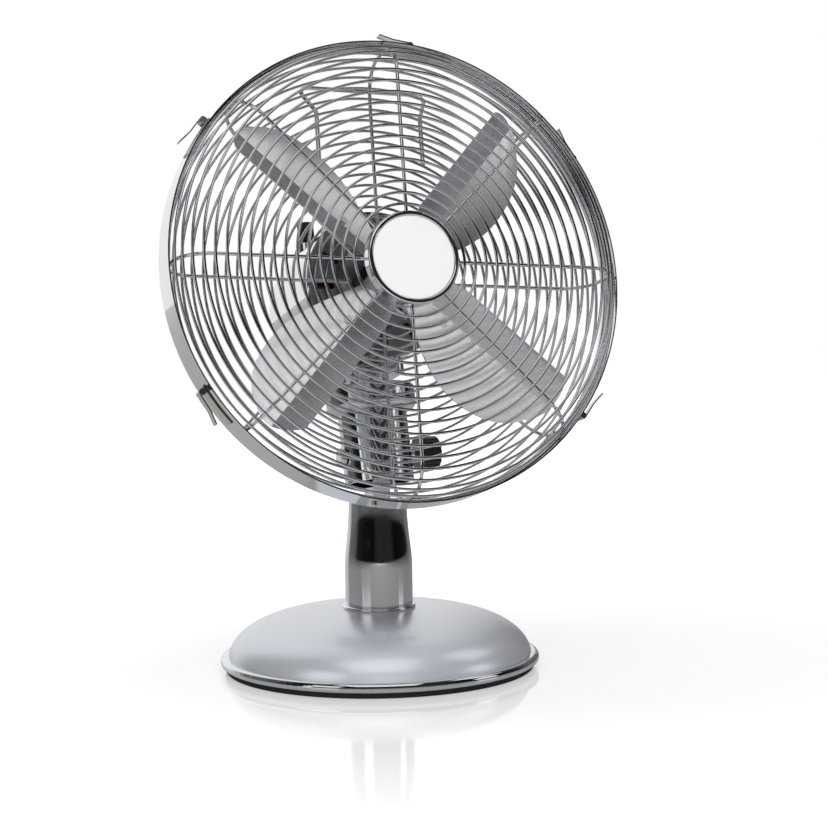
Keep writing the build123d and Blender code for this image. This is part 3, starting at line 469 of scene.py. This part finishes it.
floor_work = bmesh.new()
bmesh.ops.create_grid(floor_work, x_segments=1, y_segments=1, size=FLOOR_SIZE / 2)
bmesh.ops.translate(floor_work, verts=floor_work.verts, vec=(0, 0, -FLOOR_DROP))
floor_mesh = bpy.data.meshes.new("studio_floor")
floor_work.to_mesh(floor_mesh)
floor_work.free()
floor = bpy.data.objects.new("studio_floor", floor_mesh)
bpy.context.scene.collection.objects.link(floor)

paper = Finish("white floor")
seen = paper.node("ShaderNodeLightPath", "Is Camera Ray", {}, {})
place = paper.node("ShaderNodeTexCoord", "Object", {}, {})
distance = paper.node("ShaderNodeVectorMath", "Value", {"operation": "LENGTH"}, {0: place})
paper.surface({
    "Base Color": (FLOOR_GREY, FLOOR_GREY, FLOOR_GREY, 1),
    "Roughness": FLOOR_ROUGHNESS,
    "Emission Color": seen * paper.ramp(distance, LIFT_BY_DISTANCE_WITH_PAINTED_SHADE),
    "Emission Strength": 1.0,
})
floor_mesh.materials.append(paper.block)
print("floor", FLOOR_SIZE, "m square")

# %% [markdown]
# ## Surround
# Polished metal shows the room. A product studio is white behind the object and dark on the viewer's side, so
# a polished tube has a dark middle and light edges. A ramp over the direction's Y gives that room, another
# over its X darkens the two sides, and the camera itself sees plain white.

# %% World
LEVEL_BY_DEPTH = [(0.0, 0.02), (0.35, 0.03), (0.58, 0.10), (0.70, 0.75), (1.0, 0.95)]
SHARE_BY_SIDE = [(0.14, 1.0), (0.40, 0.15)]

room = Finish("studio surround", bpy.data.worlds.new("studio surround"))
bpy.context.scene.world = room.block
direction = room.node("ShaderNodeTexCoord", "Generated", {}, {})
sideways = room.node("ShaderNodeSeparateXYZ", "X", {}, {"Vector": direction})
depth = room.node("ShaderNodeSeparateXYZ", "Y", {}, {"Vector": direction}) * 0.5 + 0.5
level = room.ramp(depth, LEVEL_BY_DEPTH) * room.ramp(sideways * sideways, SHARE_BY_SIDE)
lit = room.node("ShaderNodeBackground", 0, {}, {"Color": level, "Strength": 1.0})
white = room.node("ShaderNodeBackground", 0, {}, {"Color": (1, 1, 1, 1), "Strength": 1.0})
camera_ray = room.node("ShaderNodeLightPath", "Is Camera Ray", {}, {})
shown = room.node("ShaderNodeMixShader", 0, {}, {0: camera_ray, 1: lit, 2: white})
room.feed(room.tree.nodes["World Output"].inputs["Surface"], shown)
print("surround ready")

# %% [markdown]
# ## Soft boxes
# A wide box above and in front fills the dome and the lower blades, and one at the left draws the bright
# edge. Two at the right stand where the bellies of the upper blades look, so that these are pale beside dark
# creases. The fill is for the badge and the plastic: it is hidden from reflections, so that no mirror shows
# it.

# %% Lights
def soft_box(name, place, target, width, radiance):
    """A square light of that radiance, turned to the target."""
    lamp = bpy.data.lights.new(name, "AREA")
    lamp.shape = "SQUARE"
    lamp.size = width
    lamp.energy = radiance * pi * width ** 2
    box = bpy.data.objects.new(name, lamp)
    box.location = place
    box.rotation_euler = (Vector(target) - Vector(place)).to_track_quat("-Z", "Y").to_euler()
    bpy.context.scene.collection.objects.link(box)
    return box


soft_box("overhead box", (-0.35, -0.95, 1.8), (-0.2, -0.3, 0), width=1.5, radiance=0.9)
soft_box("high right box", (1.5, -0.2, 1.8), (0, 0, 0.35), width=1.0, radiance=0.9)
soft_box("right box", (1.8, -1.05, 0.65), (0, 0, 0.35), width=0.7, radiance=1.2)
soft_box("left box", (-1.9, -0.9, 0.9), (0, 0, 0.3), width=1.2, radiance=0.9)
fill = soft_box("badge fill", (-0.5, -1.7, 0.55), (0, 0, 0.3), width=1.0, radiance=7.8)
fill.visible_glossy = False
print(len(bpy.data.lights), "lights")

# %% [markdown]
# ## Camera
# A long lens keeps the guard's circle nearly round. It stands a little to the fan's right, about level with
# the middle of the head, and looks slightly down. Its place and its two axes were found by fitting the fan's
# circles, so they are given as they are.

# %% Camera
CAMERA_PLACE = (-0.57633, -1.53767, 0.33285)
CAMERA_RIGHT = Vector((0.92948, -0.36856, -0.01543))
CAMERA_UP = Vector((0.04535, 0.07265, 0.99633))
SENSOR_WIDTH_MM = 36
FOCAL_LENGTH_MM = 94.06

lens = bpy.data.cameras.new("camera")
lens.sensor_width = SENSOR_WIDTH_MM
lens.lens = FOCAL_LENGTH_MM
camera = bpy.data.objects.new("camera", lens)
bpy.context.scene.collection.objects.link(camera)
facing = Matrix((CAMERA_RIGHT, CAMERA_UP, CAMERA_RIGHT.cross(CAMERA_UP))).transposed()
camera.matrix_world = Matrix.Translation(CAMERA_PLACE) @ facing.to_4x4()
bpy.context.scene.camera = camera
bpy.context.scene.view_settings.view_transform = "Standard"
print("camera at", CAMERA_PLACE)
